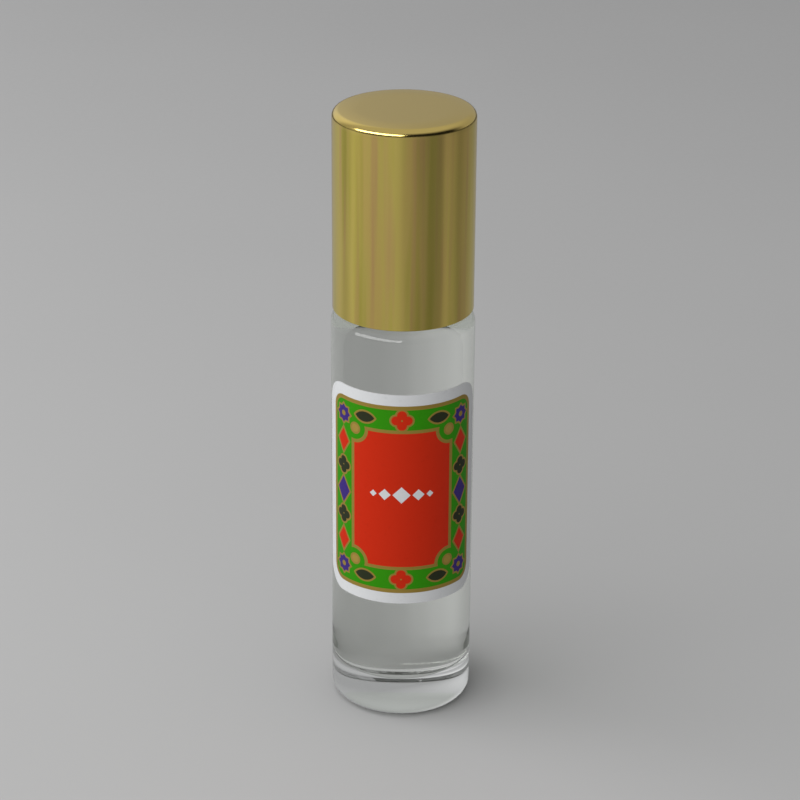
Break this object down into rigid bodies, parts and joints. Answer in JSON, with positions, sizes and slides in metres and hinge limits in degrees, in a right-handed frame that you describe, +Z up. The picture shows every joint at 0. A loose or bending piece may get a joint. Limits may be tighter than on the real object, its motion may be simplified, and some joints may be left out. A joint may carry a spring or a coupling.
{
  "type": "roll-on perfume bottle",
  "caption": "Clear glass roll-on perfume bottle with a wrap label, a steel ball in its fitment and a gold metal-shelled screw cap.",
  "frame": {"origin": "middle of the base, on the surface that the bottle stands on", "axes": "+Z up along the bottle's axis, -Y towards the front, which the label faces, +X to the right seen from the front"},
  "size_m": [0.02, 0.0201, 0.088],
  "materials": {
    "clear_glass": "gloss",
    "clear_oil": "gloss",
    "natural_plastic": "satin",
    "polished_steel": "polished",
    "white_plastic": "satin",
    "gold_metal": "polished",
    "soft_seal": "matte",
    "label_paper": "satin"
  },
  "bodies": {
    "bottle": {"glass_bottle": "clear_glass", "perfume_oil": "clear_oil", "roller_housing": "natural_plastic", "front_label": "label_paper"},
    "ball": {"roller_ball": "polished_steel"},
    "seal": {"cap_seal": "soft_seal"},
    "cap": {"inner_cap": "white_plastic", "cap_shell": "gold_metal"}
  },
  "joints": [
    {"name": "ball_roll", "type": "hinge", "parent": "bottle", "child": "ball", "pos_m": [0, 0, 0.07263], "axis": [1, 0, 0], "continuous": true},
    {"name": "cap_lift", "type": "slide", "parent": "bottle", "child": "seal", "axis": [0, 0, 1], "range_m": [0, 0.0195]},
    {"name": "cap_turn", "type": "hinge", "parent": "seal", "child": "cap", "pos_m": [0, 0, 0.074], "axis": [0, 0, 1], "range_deg": [0, 2340]}
  ],
  "couplings": [
    {"joint": "cap_lift", "follows": "cap_turn", "m_per_rad": 0.00047746}
  ]
}
